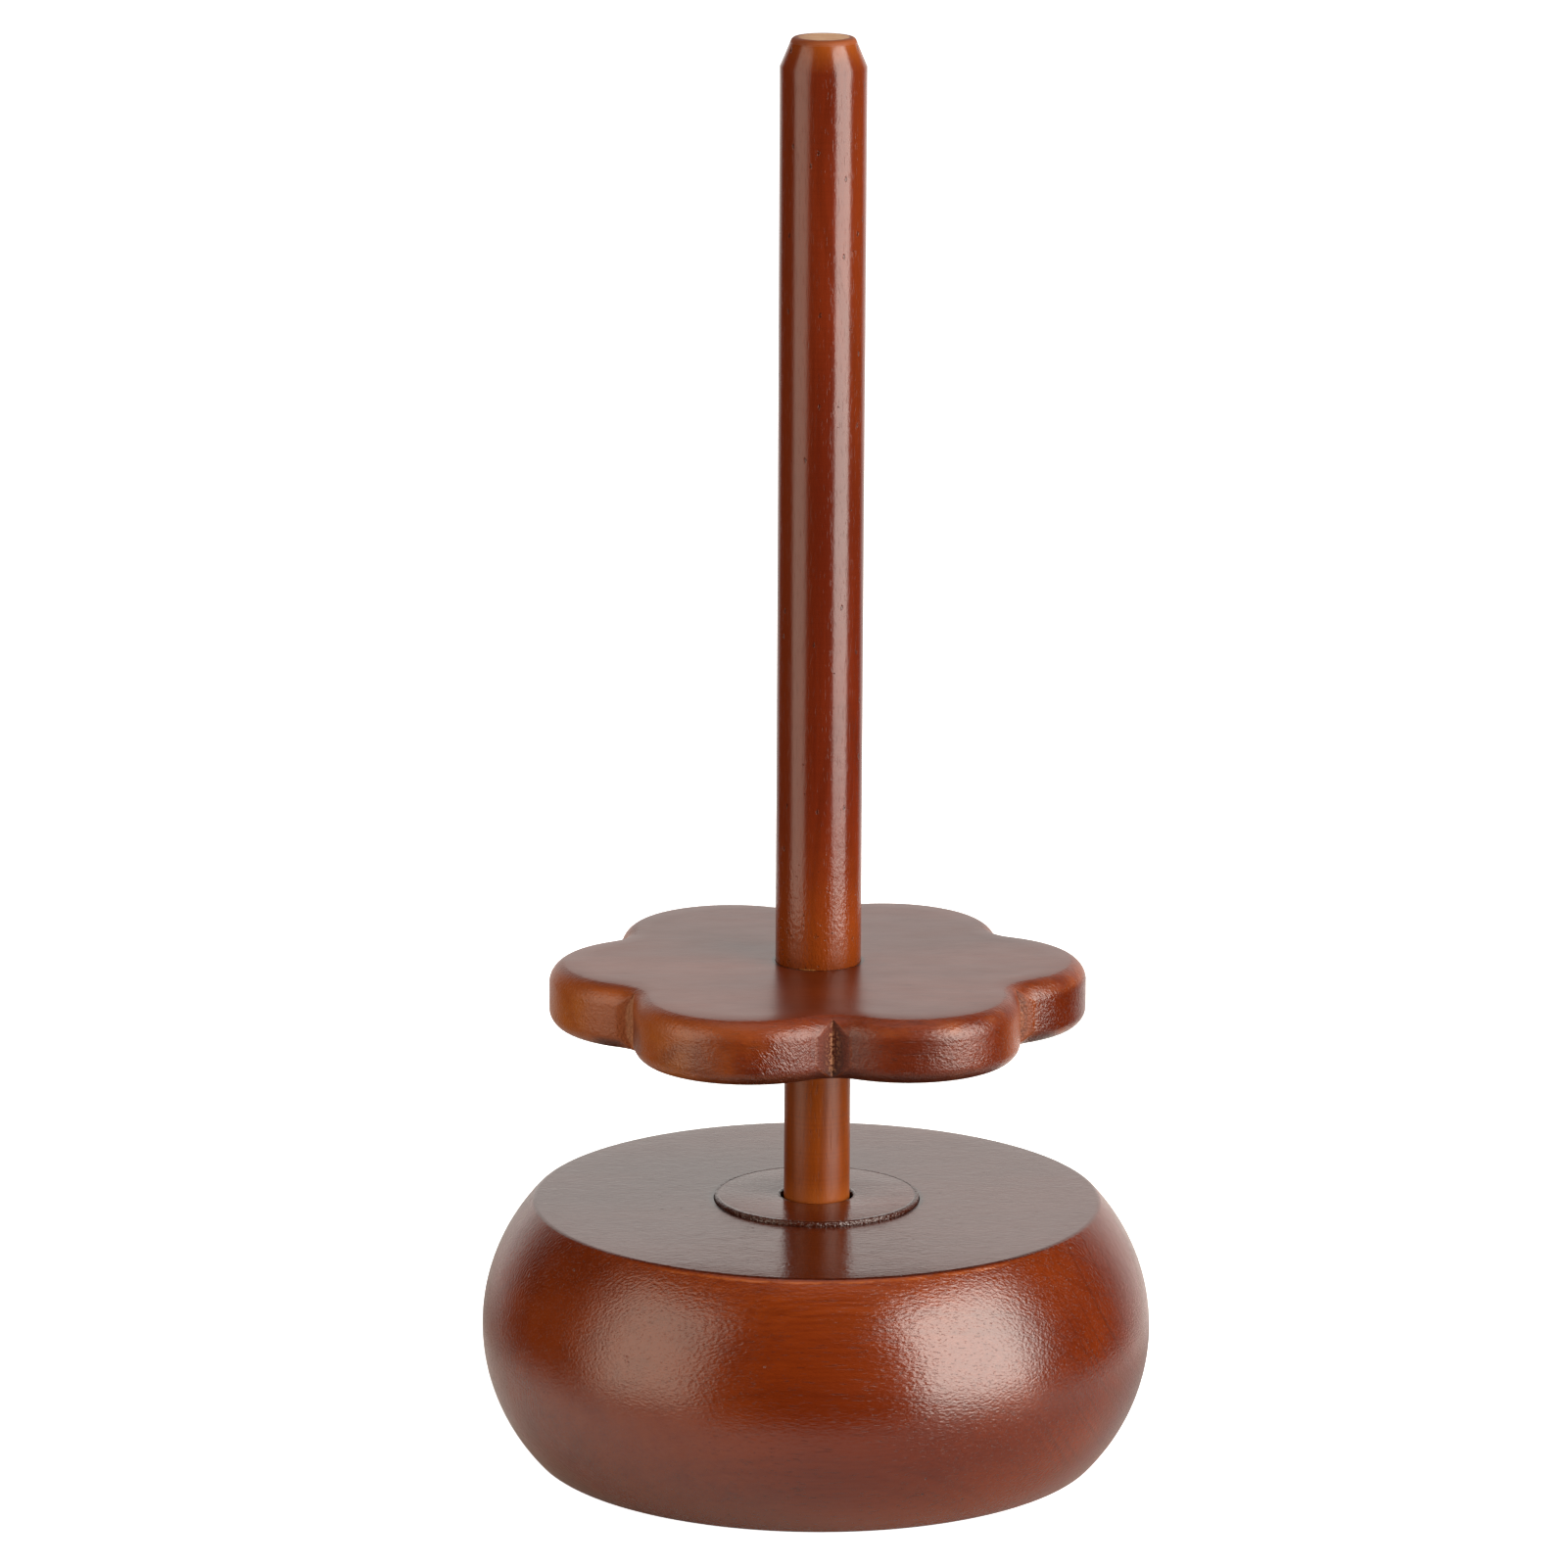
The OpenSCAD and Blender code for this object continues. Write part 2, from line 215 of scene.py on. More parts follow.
plainWood = {
    "shift": (0.0, 0.0, 0.0),
    "grainTurn": alongX,
    "darkStain": (0.074, 0.0084, 0.001, 1),
    "lightStain": (0.135, 0.0195, 0.0022, 1),
    "ringStain": (0.045, 0.0055, 0.001, 1),
    "poreStain": (0.026, 0.004, 0.001, 1),
    # painted shade: the face tint darkens flat top faces, standing for the weak light that falls on them
    # from above
    "faceShade": (0.045, 0.007, 0.002, 1),
    # noises: size along and across the grain, detail, roughness
    "cloud": ((70.0, 24.0), 2.0),
    "fibre": ((30.0, 0.6), 3.0, 0.6),
    "pores": ((3.6, 0.26), 1.0, 0.4),
    "peel": ((1.15, 0.42), 2.0),
    "warp": ((90.0, 26.0), 1.0),
    "waves": ((14.0, 7.0), 1.0),
    "swells": ((2.6, 1.7), 1.0),
    "haze": ((9.0, 4.0), 3.0),
    "toneParts": (0.9, 0.35),  # of cloud and fibre in the stain's tone
    "toneSpan": (0.42, 0.84),
    "ringNormal": (0.08, 0.62, 0.78),
    "ringWarp": 16.0,
    "ringLines": (1.7, 1.5),  # step and detail
    "ringSpan": (0.5, 0.72),
    "ringDepth": 0.2,
    "poreSpan": (0.64, 0.71),
    "poreDepth": 0.5,
    "poreDip": 0.02,
    "poreRough": 0.03,
    "peelHeight": 0.085,
    "waveHeight": 0.05,
    "fibreHeight": 0.008,
    "faceDepth": (-1.0, -1.2),  # below the top, where a flat face begins; here there is none
    "facePeel": 0.35,
    "faceShadeShare": 0.0,
    "faceRough": 0.0,
    "faceWave": 0.0,
    "specks": (5.0, 0.05, 0.3),  # step, size as a share of it, share of the cells
    "speckDepth": 0.7,
    "speckDip": 0.03,
    "roughness": 0.13,
    "roughSpread": 0.1,
    "ior": 1.5,
}


def tint(tree, layers, share, colour):
    layers["colour"] = blendColour(tree, share, layers["colour"], colour)


def woodLayers(tree, look, floor, top):
    sums = partial(calc, tree)
    inMm = inMillimetres(tree)
    grain = addNode(tree, "ShaderNodeMapping", inMm, look["shift"], look["grainTurn"]).outputs[0]
    layers = {name: noise(tree, grain, *look[name]) for name in woodNoises}
    radius, turn, rise = axisOf(tree, inMm)
    depth = sums("SUBTRACT", top, rise)
    layers.update(inMm=inMm, grain=grain, radius=radius, turn=turn, rise=rise, depth=depth,
                  across=splitXyz(tree, inMm)[0], fromFloor=sums("SUBTRACT", rise, floor))
    slope = vectorMath(tree, "DOT_PRODUCT", grain, look["ringNormal"])[1]
    slope = sums("MULTIPLY_ADD", layers["warp"], look["ringWarp"], slope)
    rings = fade(tree, lineNoise(tree, slope, *look["ringLines"]), *look["ringSpan"])
    pores = fade(tree, layers["pores"], *look["poreSpan"])
    specks = spotNoise(tree, inMm, *look["specks"])
    calm = fade(tree, depth, *look["faceDepth"], 1.0, look["facePeel"])
    level = fade(tree, calm, 1.0, look["facePeel"])  # 1 on a flat face
    # Colour
    cloudPart, fibrePart = look["toneParts"]
    tone = sums("MULTIPLY", layers["fibre"], fibrePart)
    tone = sums("MULTIPLY_ADD", layers["cloud"], cloudPart, tone)
    tone = fade(tree, tone, *look["toneSpan"])
    layers["colour"] = blendColour(tree, tone, look["darkStain"], look["lightStain"])
    # the flat-face tint in this loop is painted shade; rings, pores and specks are the wood's own
    for layer, depthName, stain in ((rings, "ringDepth", "ringStain"), (pores, "poreDepth", "poreStain"),
                                    (level, "faceShadeShare", "faceShade"), (specks, "speckDepth", "poreStain")):
        tint(tree, layers, sums("MULTIPLY", layer, look[depthName]), look[stain])
    # Height of the surface
    height = sums("MULTIPLY", layers["peel"], look["peelHeight"])
    height = sums("MULTIPLY_ADD", layers["waves"], look["waveHeight"], height)
    height = sums("MULTIPLY_ADD", pores, -look["poreDip"], height)
    height = sums("MULTIPLY_ADD", layers["fibre"], look["fibreHeight"], height)
    height = sums("MULTIPLY", height, calm)
    height = sums("MULTIPLY_ADD", layers["swells"], sums("MULTIPLY", level, look["faceWave"]), height)
    layers["height"] = sums("MULTIPLY_ADD", specks, -look["speckDip"], height)
    # Roughness of the lacquer
    rough = sums("MULTIPLY_ADD", layers["haze"], look["roughSpread"], look["roughness"])
    rough = sums("MULTIPLY_ADD", pores, look["poreRough"], rough)
    layers["roughness"] = sums("MULTIPLY_ADD", level, look["faceRough"], rough)
    return layers


# Marks on the wood. An area names layers that all have to allow a mark, each with a ramp (from, to, and the
# shares at both ends unless they are 0 and 1), a strip (from, to, softness) or a factor. Of several areas
# the largest share counts. In millimetres, across runs from left to right as seen from in front, and depth
# runs down from the piece's top.

def areaShare(tree, layers, areas):
    whole = None
    for area in areas:
        share = None
        for name, span in area.items():
            if not isinstance(span, tuple):
                allowed = calc(tree, "MULTIPLY", layers[name], span)
            elif len(span) == 3:
                allowed = strip(tree, layers[name], *span)
            else:
                allowed = fade(tree, layers[name], *span)
            share = allowed if share is None else calc(tree, "MULTIPLY", share, allowed)
        whole = share if whole is None else calc(tree, "MAXIMUM", whole, share)
    return whole


def woodFinish(label, look, node, addLayers):
    material, tree, shader = newMaterial(label)
    _, floor, top = nodeSpan(node)
    layers = woodLayers(tree, look["wood"], floor, top)
    for name, (place, *settings) in look["noises"].items():  # layer it runs on, size, detail, roughness
        layers[name] = noise(tree, layers[place], *settings)
    addLayers(tree, layers)
    for name, (place, push, reach) in look["pushed"].items():  # a layer, the noise that pushes it, how far
        layers[name] = calc(tree, "MULTIPLY_ADD", layers[push], reach, layers[place])
    for name, areas in look["areas"].items():  # shares that several marks use
        layers[name] = areaShare(tree, layers, areas)
    tones = {**look["wood"], **look}
    for stain, strength, *areas in look["stains"]:
        share = calc(tree, "MULTIPLY", areaShare(tree, layers, areas), strength)
        tint(tree, layers, share, tones[stain])
    for layer, marks in (("height", look["bumps"]), ("roughness", look["hazes"])):
        for amount, *areas in marks:
            share = areaShare(tree, layers, areas)
            layers[layer] = calc(tree, "MULTIPLY_ADD", share, amount, layers[layer])
    fillShader(tree, shader, layers["colour"], layers["roughness"], layers["height"])
    shader.inputs["IOR"].default_value = look["wood"]["ior"]
    return material


# Base

base = {
    "sideRadius": 34.0,
    "topRim": 1.3,
    "bottomRim": 1.4,
    "capSeam": 0.15,
    "bearingSeam": 0.02,
    "reliefShoulder": 3.0,
    "reliefDepth": 8.5,
    "steps": 288,
    "flatSteps": 6,
    "rimSteps": 8,
    "sideSteps": 72,
    "shoulderStain": (0.165, 0.027, 0.003, 1),
    "rimWear": (0.3, 0.075, 0.015, 1),
    "rimStain": (0.025, 0.005, 0.0025, 1),
    "waistStain": (0.055, 0.005, 0.001, 1),
    "sandNormal": (0.89, 0.0, 0.45),
    "sandLines": (0.6, 2.0),  # step and detail
    "noises": {"worn": ("inMm", 6.0, 4.0, 0.65), "grit": ("inMm", 0.55)},
    "pushed": {
        "soft": ("rise", "cloud", 12.0),
        "ragged": ("depth", "worn", -0.6),
        "seamEdge": ("fromSeam", "peel", 0.9),
    },
    "areas": {
        "face": ({"depth": (0.32, 0.15)},),
        "side": ({"depth": (0.15, 0.32)},),
        "front": ({"across": (-38, 23, 8)},),
        "sanded": ({"across": (34, 50), "side": 1},),
    },
    "stains": (
        # lighter shoulder, and painted light making it paler to the left
        ("shoulderStain", 1.0, {"depth": (12, 2), "side": 1, "front": (0, 1, 0.2, 1),
                                "fibre": (0.3, 0.7, 0.35, 0.85)}),
        ("shoulderStain", 1.0, {"across": (-8, -40), "depth": (13, 3, 1, 0.3), "side": 1,
                                "worn": (0.3, 0.7, 0.3, 0.8)}),
        # deeper low on the front, painted bounce light making it paler close to the table, deeper at the
        # right end
        ("waistStain", 0.5, {"soft": (14, 38, 7), "across": (-12, 24, 9)}),
        ("shoulderStain", 0.6, {"soft": (16, 8)}),
        ("waistStain", 0.4, {"across": (36, 50), "depth": (20, 8)}),
        # worn, paler line under the rim with a painted highlight; painted shade on the rim's front; stain
        # and painted shade round the cap's seam
        ("rimWear", 0.7, {"ragged": (0.12, 0.42, 0.15), "worn": (0.35, 0.65), "across": (-32, 32, 9)}),
        ("rimStain", 1.0, {"face": 1, "radius": (50.7, 51.2), "across": (-24, 40, 9),
                           "worn": (0.3, 0.6, 0.8, 0.3)}),
        ("rimStain", 1.0, {"face": 1, "seamEdge": (1.4, 0.8)}),
        # steep sanding lines on the right
        ("ringStain", 0.4, {"sanded": 1, "sanding": (0.5, 0.7)}),
    ),
    "bumps": ((0.028, {"face": 1, "grit": 1}), (0.03, {"sanded": 1, "sanding": 1})),
    "hazes": (),
    "wood": dict(plainWood, shift=(31.0, 4.0, 17.0), faceDepth=(0.25, 0.05), faceShadeShare=0.6, facePeel=0.4,
                 faceWave=0.03, specks=(4.0, 0.08, 0.35), speckDip=0.12),
}


def baseOutline():
    radius, floor, top = nodeSpan("base")
    capRadius, capFloor, _ = nodeSpan("bearing_cap")
    bearingRadius, bearingFloor, _ = nodeSpan("bearing_outer_ring")
    middle = (floor + top) / 2
    half = (top - floor) / 2
    arcX = radius - base["sideRadius"]

    def rimCentre(rim):
        up = half - rim
        return arcX + math.sqrt((base["sideRadius"] - rim) ** 2 - up ** 2), up

    lowOut, lowUp = rimCentre(base["bottomRim"])
    topOut, topUp = rimCentre(base["topRim"])
    lowTurn = -math.degrees(math.atan2(lowUp, lowOut - arcX))
    topTurn = math.degrees(math.atan2(topUp, topOut - arcX))
    seam = capRadius + base["capSeam"]
    seat = bearingRadius + base["bearingSeam"]
    relief = bearingRadius - base["reliefShoulder"]
    reliefFloor = bearingFloor - base["reliefDepth"]
    outline = linePoints((0, floor), (lowOut, floor), base["flatSteps"])
    outline += arcPoints((lowOut, middle - lowUp), base["bottomRim"], -90, lowTurn, base["rimSteps"])[1:]
    outline += arcPoints((arcX, middle), base["sideRadius"], lowTurn, topTurn, base["sideSteps"])[1:]
    outline += arcPoints((topOut, middle + topUp), base["topRim"], topTurn, 90, base["rimSteps"])[1:]
    outline += linePoints((topOut, top), (seam, top), base["flatSteps"])[1:]
    outline += [(seam, capFloor), (seat, capFloor), (seat, bearingFloor), (relief, bearingFloor)]
    outline += [(relief, reliefFloor), (0, reliefFloor)]
    return outline


def baseLayers(tree, layers):
    seam = nodeSpan("bearing_cap")[0] + base["capSeam"]
    layers["fromSeam"] = calc(tree, "SUBTRACT", layers["radius"], seam)
    lean = vectorMath(tree, "DOT_PRODUCT", layers["inMm"], base["sandNormal"])[1]
    layers["sanding"] = lineNoise(tree, lean, *base["sandLines"])


# Bearing cap

cap = {
    "holeGap": 0.55,
    "edge": 0.4,
    "steps": 192,
    "flatSteps": 4,
    "edgeSteps": 6,
    "edgeStain": (0.035, 0.007, 0.003, 1),
    "noises": {"beads": ("inMm", 0.55)},
    "pushed": {"rimWay": ("toRim", "cloud", -0.5), "holeWay": ("fromHole", "cloud", 0.5)},
    "areas": {"beaded": ({"rimWay": (0.65, 0.2)}, {"holeWay": (0.9, 0.5)})},
    # painted edge shade, with stain gathered at the cap's rim and round its hole
    "stains": (("edgeStain", 0.9, {"beaded": 1}),),
    "bumps": ((0.32, {"beaded": 1, "beads": 1}), (0.03, {"beads": 1})),
    "hazes": (),
    "wood": dict(plainWood, shift=(5.0, 61.0, 8.0), faceDepth=(0.1, -0.1), faceShadeShare=0.6, facePeel=0.6,
                 waveHeight=0.12),
}


def capOutline():
    radius, floor, top = nodeSpan("bearing_cap")
    hole = nodeSpan("stem")[0] + cap["holeGap"]
    edge = cap["edge"]
    outline = linePoints((hole, floor), (radius, floor), cap["flatSteps"])
    outline += arcPoints((radius - edge, top - edge), edge, 0, 90, cap["edgeSteps"])
    outline += arcPoints((hole + edge, top - edge), edge, 90, 180, cap["edgeSteps"])
    return outline


def capLayers(tree, layers):
    hole = nodeSpan("stem")[0] + cap["holeGap"]
    layers["toRim"] = calc(tree, "SUBTRACT", nodeSpan("bearing_cap")[0], layers["radius"])
    layers["fromHole"] = calc(tree, "SUBTRACT", layers["radius"], hole)


# Stem

stem = {
    "journalRadius": 4.98,
    "journalEdge": 0.5,
    "studHole": 3.02,
    "studSpare": 0.6,
    "screwHole": 2.12,
    "steps": 128,
    "wallSteps": 12,
    "edgeSteps": 4,
    "lathe": ((0.45, 2.0), 3.0, 0.6),
    "latheSpan": (0.35, 0.75, 0.0, 0.45),
    "latheTone": (0.55, 0.5, 0.5, 1),
    "footStain": (0.3, 0.075, 0.011, 1),
    "noises": {},
    "pushed": {"fromFoot": ("overCap", "fibre", 3.0)},
    "areas": {},
    "stains": (("footStain", 0.6, {"fromFoot": (6.5, 0.5)}),),
    "bumps": ((0.006, {"lathe": 1}),),
    "hazes": (),
    "wood": dict(plainWood, shift=(40.0, 9.0, 2.0), grainTurn=alongZ, roughness=0.3, ior=1.38,
                 pores=((2.4, 0.22), 1.0, 0.4), poreDepth=0.3, ringNormal=(0.02, 0.8, 0.6), peelHeight=0.02,
                 waveHeight=0.01, darkStain=(0.103, 0.0165, 0.0016, 1), lightStain=(0.21, 0.043, 0.0028, 1)),
}


def stemOutline():
    radius, foot, top = nodeSpan("stem")
    shoulder = nodeSpan("bearing_outer_ring")[2]
    studFoot = nodeSpan("rod_stud")[1] - stem["studSpare"]
    screwTip = nodeSpan("retaining_screw")[2] + stem["studSpare"]
    journal = stem["journalRadius"]
    edge = stem["journalEdge"]
    outline = [(0, screwTip), (stem["screwHole"], screwTip), (stem["screwHole"], foot)]
    outline += arcPoints((journal - edge, foot + edge), edge, -90, 0, stem["edgeSteps"])
    outline += [(journal, shoulder), (radius, shoulder)]
    outline += linePoints((radius, shoulder), (radius, top), stem["wallSteps"])[1:]
    outline += [(stem["studHole"], top), (stem["studHole"], studFoot), (0, studFoot)]
    return outline


def latheMarks(tree, layers, look):  # fine rings that the lathe leaves round a rod
    upright = addNode(tree, "ShaderNodeCombineXYZ", layers["rise"], layers["radius"]).outputs[0]
    layers["lathe"] = noise(tree, upright, *look["lathe"])
    share = fade(tree, layers["lathe"], *look["latheSpan"])
    shade = blendColour(tree, share, (1, 1, 1, 1), look["latheTone"])
    layers["colour"] = blendColour(tree, 1.0, layers["colour"], shade, "MULTIPLY")


def stemLayers(tree, layers):
    latheMarks(tree, layers, stem)
    layers["overCap"] = calc(tree, "SUBTRACT", layers["rise"], nodeSpan("bearing_cap")[2])


# Flower tray: petal arcs, with the rounding carried across each notch by a guide circle

tray = {
    "petalCount": 6,
    "petalRadius": 20.5,
    "guideRadius": 6.35,
    "topRounding": 3.4,
    "bottomRounding": 2.9,
    "softness": 1.15,  # radius of a rounding's arc over its reach
    "boreGap": 0.02,
    "seatGap": 0.05,
    "petalColumns": 40,
    "guideColumns": 14,
    "notchColumns": 12,
    "creaseColumns": 2.0,
    "mergeGap": 2e-6,
    "wornStain": (0.2, 0.044, 0.008, 1),
    "leftStain": (0.285, 0.066, 0.009, 1),
    "honeyStain": (0.34, 0.1, 0.012, 1),
    "deepStain": (0.055, 0.0062, 0.001, 1),
    "footStain": (0.03, 0.006, 0.003, 1),
    "endGrain": (0.38, 0.17, 0.085, 1),
    "notchStain": (0.035, 0.0065, 0.0025, 1),
    "raisedTurn": (0.0, math.radians(-50), 0.0),
    "raised": ((1.0, 0.26), 1.0),
    "sideSpan": (0.03, -0.03),  # from a notch's left side to its right
    "noises": {
        "patches": ("inMm", 9.0, 3.0, 0.6),
        "blotch": ("inMm", 13.0, 1.0),
        "grit": ("inMm", 0.45),
        "chatter": ("inMm", (0.9, 0.9, 22.5), 1.0),
    },
    "pushed": {
        "fromLeft": ("across", "patches", 30.0),
        "tornNotch": ("notch", "grit", 0.3),
        "fromRod": ("rodGap", "peel", 0.6),
    },
    "areas": {
        "wall": ({"depth": (1, 4)},),
        "raisedWall": (
            {"wall": 0.6, "across": (19, 32, 3), "patches": (0.36, 0.56)},
            {"wall": 1, "across": (-15, -3, 3), "patches": (0.36, 0.56)},
            {"wall": 1, "across": (34.5, 41.5, 1.5), "rightSide": 1},
        ),
    },
    "stains": (
        # painted light: the tray's left part is lighter, as if lit more from the left
        ("leftStain", 1.0, {"fromLeft": (7, -17), "depth": (0, 1.5, 0.1, 0.8)}),
        ("deepStain", 1.0, {"wall": 1, "blotch": (0.52, 0.34, 0, 0.5)}, {"wall": 0.6, "across": (37, 46)},
         {"wall": 0.6, "across": (10, 20, 4)}),
        # rubbed thin over both roundings
        ("wornStain", 0.75, {"depth": (0.5, 2.6, 0.8), "patches": (0.38, 0.68)},
         {"fromFloor": (0.2, 2, 0.7), "patches": (0.38, 0.68)}),
        # painted light on the left of the lower rounding
        ("leftStain", 0.6, {"fromFloor": (0.3, 2.2, 0.7), "across": (-18, -28)}),
        ("wornStain", 1.0, {"wall": 1, "across": (32, 37, 3)}),
        ("honeyStain", 1.0, {"wall": 1, "across": (-38, -45), "patches": (0.35, 0.6, 0.1, 0.55)},
         {"wall": 1, "across": (-33, -26, 2.5), "patches": (0.35, 0.6, 0.1, 0.55)}),
        # painted shadow along the lower edge
        ("notchStain", 0.8, {"fromFloor": (2.8, 1.4), "across": (-20, 28, 7)},
         {"fromFloor": (2.8, 1.4), "across": (-41, -36, 1.5)},
         {"fromFloor": (2.8, 1.4), "across": (36, 42, 1.5), "rightSide": 1}),
        # notches: bare end grain in specks, a painted highlight along the crease, stain in the depth
        ("endGrain", 0.55, {"notch": (0.45, 0.85), "speckled": (0.27, 0.34)}),
        ("wornStain", 1.0, {"crease": 1, "patches": (0.3, 0.6, 0.2, 0.8)}),
        ("notchStain", 1.0, {"notch": (0.4, 0.85, 0.12), "grit": (0.4, 0.6, 0.75, 0.3),
                             "across": (-20, -30, 1, 0.3), "rightSide": (0, 1, 0.4, 0.8)}),
        ("endGrain", 1.0, {"notch": (0.86, 0.93), "grit": (0.4, 0.52, 0.05, 0.65),
                           "across": (20, 30, 1, 0.3)}),
        ("endGrain", 0.6, {"tornNotch": (0.68, 0.84), "across": (-24, -30)}),
        # painted contact shadow: a dark line round the rod's foot
        ("footStain", 1.0, {"depth": (0.2, 0.05), "fromRod": (1.15, 0.75)}),
    ),
    "bumps": (
        (0.14, {"raisedWall": 1, "raised": 1}),
        (0.25, {"notch": (0, 0.2), "grit": 1}),
        (0.1, {"depth": (4, 6.5), "grit": 1}),
        (0.008, {"depth": (0.3, 0.1), "grit": 1}),
        (0.1, {"petalWay": (-0.2, -0.9), "patches": (0.35, 0.65), "chatter": 1, "wall": 1}),
    ),
    "hazes": (
        (-0.1, {"raisedWall": 1}),
        (-0.14, {"wall": 1, "across": (24, 36)}),
        (0.12, {"petalWay": (-0.2, -0.9), "wall": 1}),
        (0.3, {"notch": (0.05, 0.3)}),
    ),
    "wood": dict(plainWood, shift=(77.0, 20.0, 33.0), faceDepth=(0.2, 0.0), faceShadeShare=0.25, faceRough=-0.03,
                 facePeel=0.04, faceWave=0.012, peelHeight=0.12, specks=(4.0, 0.05, 0.4), roughness=0.28,
                 ior=1.46),
}


def flowerTree():
    tree = bpy.data.node_groups.new("flowerTray", "GeometryNodeTree")
    tree.is_modifier = True
    for name in ("Petal reach", "Petal radius", "Guide radius", "Thickness", "Top rounding",
                 "Bottom rounding", "Softness", "Bore radius", "Seat radius", "Seat depth", "Underside"):
        tree.interface.new_socket(name, in_out="INPUT", socket_type="NodeSocketFloat")
    tree.interface.new_socket("Petal count", in_out="INPUT", socket_type="NodeSocketInt")
    tree.interface.new_socket("Material", in_out="INPUT", socket_type="NodeSocketMaterial")
    tree.interface.new_socket("Geometry", in_out="OUTPUT", socket_type="NodeSocketGeometry")
    given = addNode(tree, "NodeGroupInput").outputs
    sums = partial(calc, tree)
    columns = (tray["petalColumns"], tray["guideColumns"], tray["notchColumns"])
    place = splitXyz(tree, addNode(tree, "GeometryNodeInputPosition").outputs[0])
    step = sums("ADD", place[1], 0.5)  # 0 to 1 across a band

    def square(value):
        return sums("POWER", value, 2.0)

    def clamped(value):
        return addNode(tree, "ShaderNodeClamp", value).outputs[0]

    def stored(mesh, label, value):
        return addNode(tree, "GeometryNodeStoreNamedAttribute", mesh, None, label, value).outputs[0]

    # A rounding: an arc through both ends of its reach, its centre equally far inside face and wall
    def rounding(reach):
        radius = sums("MULTIPLY", reach, given["Softness"])
        room = sums("SUBTRACT", sums("MULTIPLY", square(radius), 2.0), square(reach))
        inside = sums("MULTIPLY", sums("ADD", reach, sums("SQRT", room)), 0.5)
        wallTurn = sums("ARCSINE", sums("DIVIDE", sums("SUBTRACT", inside, reach), radius))
        faceTurn = sums("SUBTRACT", math.pi / 2, wallTurn)
        return radius, inside, wallTurn, faceTurn

    def roundingAt(arc, share):
        radius, inside, wallTurn, faceTurn = arc
        turn = sums("MULTIPLY_ADD", sums("SUBTRACT", faceTurn, wallTurn), share, wallTurn)
        inset = sums("SUBTRACT", inside, sums("MULTIPLY", radius, sums("COSINE", turn)))
        depth = sums("SUBTRACT", inside, sums("MULTIPLY", radius, sums("SINE", turn)))
        return inset, depth

    def between(first, last):
        return sums("MULTIPLY_ADD", sums("SUBTRACT", last, first), step, first)

    thick = given["Thickness"]
    back = sums("SUBTRACT", 1.0, step)
    seatFloor = sums("SUBTRACT", thick, given["Seat depth"])
    lowInset, lowDepth = roundingAt(rounding(given["Bottom rounding"]), back)
    topInset, topDepth = roundingAt(rounding(given["Top rounding"]), step)
    wallTop = sums("SUBTRACT", thick, given["Top rounding"])
    bore, seat = given["Bore radius"], given["Seat radius"]
    # rows, inset from the petals' wall, height, share of the way to the hole, radius of the hole
    bands = (
        (8, given["Bottom rounding"], 0.0, back, bore),
        (14, lowInset, lowDepth, 0.0, bore),
        (10, 0.0, between(given["Bottom rounding"], wallTop), 0.0, bore),
        (18, topInset, sums("SUBTRACT", thick, topDepth), 0.0, bore),
        (10, given["Top rounding"], thick, step, seat),
        (1, given["Top rounding"], between(thick, seatFloor), 1.0, seat),
        (1, given["Top rounding"], seatFloor, 1.0, between(seat, bore)),
        (2, given["Top rounding"], between(seatFloor, 0.0), 1.0, bore),
    )
    join = addNode(tree, "GeometryNodeJoinGeometry")
    labels = ("inset", "height", "toHole", "holeRadius")
    for rows, *values in bands:
        band = addNode(tree, "GeometryNodeMeshGrid", 2.0, 1.0, 2 * sum(columns) + 1, rows + 1).outputs[0]
        for label, value in zip(labels, values):
            band = stored(band, label, value)
        tree.links.new(band, join.inputs[0])
    inset, height, toHole, holeRadius = [
        addNode(tree, "GeometryNodeInputNamedAttribute", label).outputs[0] for label in labels]

    # Centres of the petal and of the guide circle beside it
    petalRadius, guideRadius = given["Petal radius"], given["Guide radius"]
    petalX = sums("SUBTRACT", given["Petal reach"], petalRadius)
    notchTurn = sums("DIVIDE", math.pi, given["Petal count"])
    apart = sums("ADD", petalRadius, guideRadius)
    offset = sums("MULTIPLY", petalX, sums("SINE", notchTurn))
    guidePast = sums("SQRT", sums("SUBTRACT", square(apart), square(offset)))
    guideOut = sums("MULTIPLY_ADD", petalX, sums("COSINE", notchTurn), guidePast)
    guideX = sums("MULTIPLY", guideOut, sums("COSINE", notchTurn))
    guideY = sums("MULTIPLY", guideOut, sums("SINE", notchTurn))
    leanTurn = sums("ARCTAN2", guideY, sums("SUBTRACT", guideX, petalX))

    # Where the petal's wall meets the guide circle at this inset, and where it meets the next petal
    guideReach = sums("ADD", guideRadius, inset)
    chordX = sums("SUBTRACT", sums("ADD", square(apart), square(petalRadius)), square(guideReach))
    chordX = sums("DIVIDE", chordX, sums("MULTIPLY", apart, 2.0))
    chordY = sums("SUBTRACT", square(petalRadius), square(chordX))
    chordY = sums("SQRT", sums("MAXIMUM", chordY, 0.0))
    meetTurn = sums("MULTIPLY", sums("ARCTAN2", chordY, sums("SUBTRACT", apart, chordX)), -1.0)
    axisTurn = sums("SUBTRACT", notchTurn, leanTurn)
    meets = sums("GREATER_THAN", meetTurn, axisTurn)
    cuspPast = sums("SQRT", sums("SUBTRACT", square(petalRadius), square(offset)))
    cuspOut = sums("MULTIPLY_ADD", petalX, sums("COSINE", notchTurn), cuspPast)
    cuspX = sums("SUBTRACT", sums("MULTIPLY", cuspOut, sums("COSINE", notchTurn)), petalX)
    cuspTurn = sums("ARCTAN2", sums("MULTIPLY", cuspOut, sums("SINE", notchTurn)), cuspX)
    wallTurn = sums("MINIMUM", sums("ADD", leanTurn, sums("ARCTAN2", chordY, chordX)), cuspTurn)

